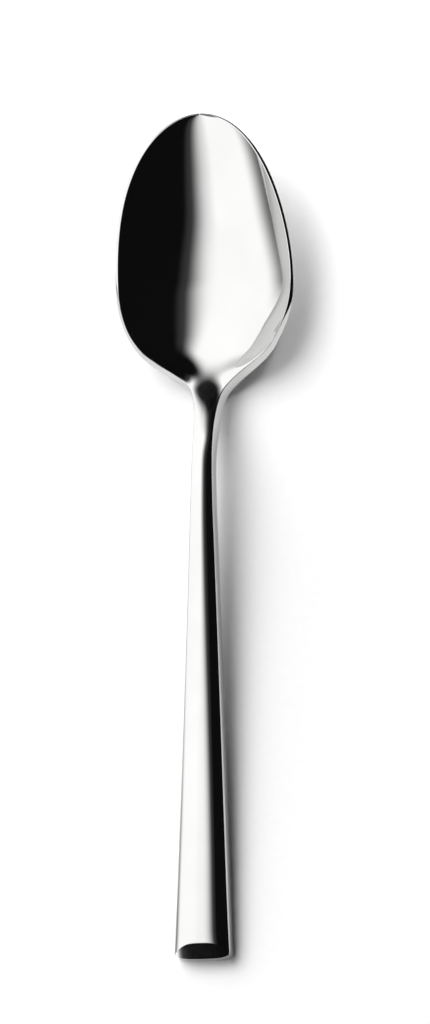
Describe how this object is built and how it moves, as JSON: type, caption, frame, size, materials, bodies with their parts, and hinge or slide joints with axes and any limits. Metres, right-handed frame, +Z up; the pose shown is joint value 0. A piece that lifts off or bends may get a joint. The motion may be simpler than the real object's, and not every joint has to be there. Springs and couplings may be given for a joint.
{
  "type": "espresso spoon",
  "caption": "Espresso spoon in mirror-polished steel, with an egg-shaped bowl, a neck that dips into it, and a slim domed handle that widens to a bevelled end.",
  "frame": {"origin": "middle of the spoon's length and width, on the surface that it rests on", "axes": "+Y from the handle towards the tip of the bowl, +Z up out of the bowl's hollow, +X across"},
  "size_m": [0.024, 0.11, 0.0091],
  "materials": {
    "steel": "mirror-polished stainless steel"
  },
  "bodies": {
    "root": {"spoon": "steel"}
  },
  "joints": []
}
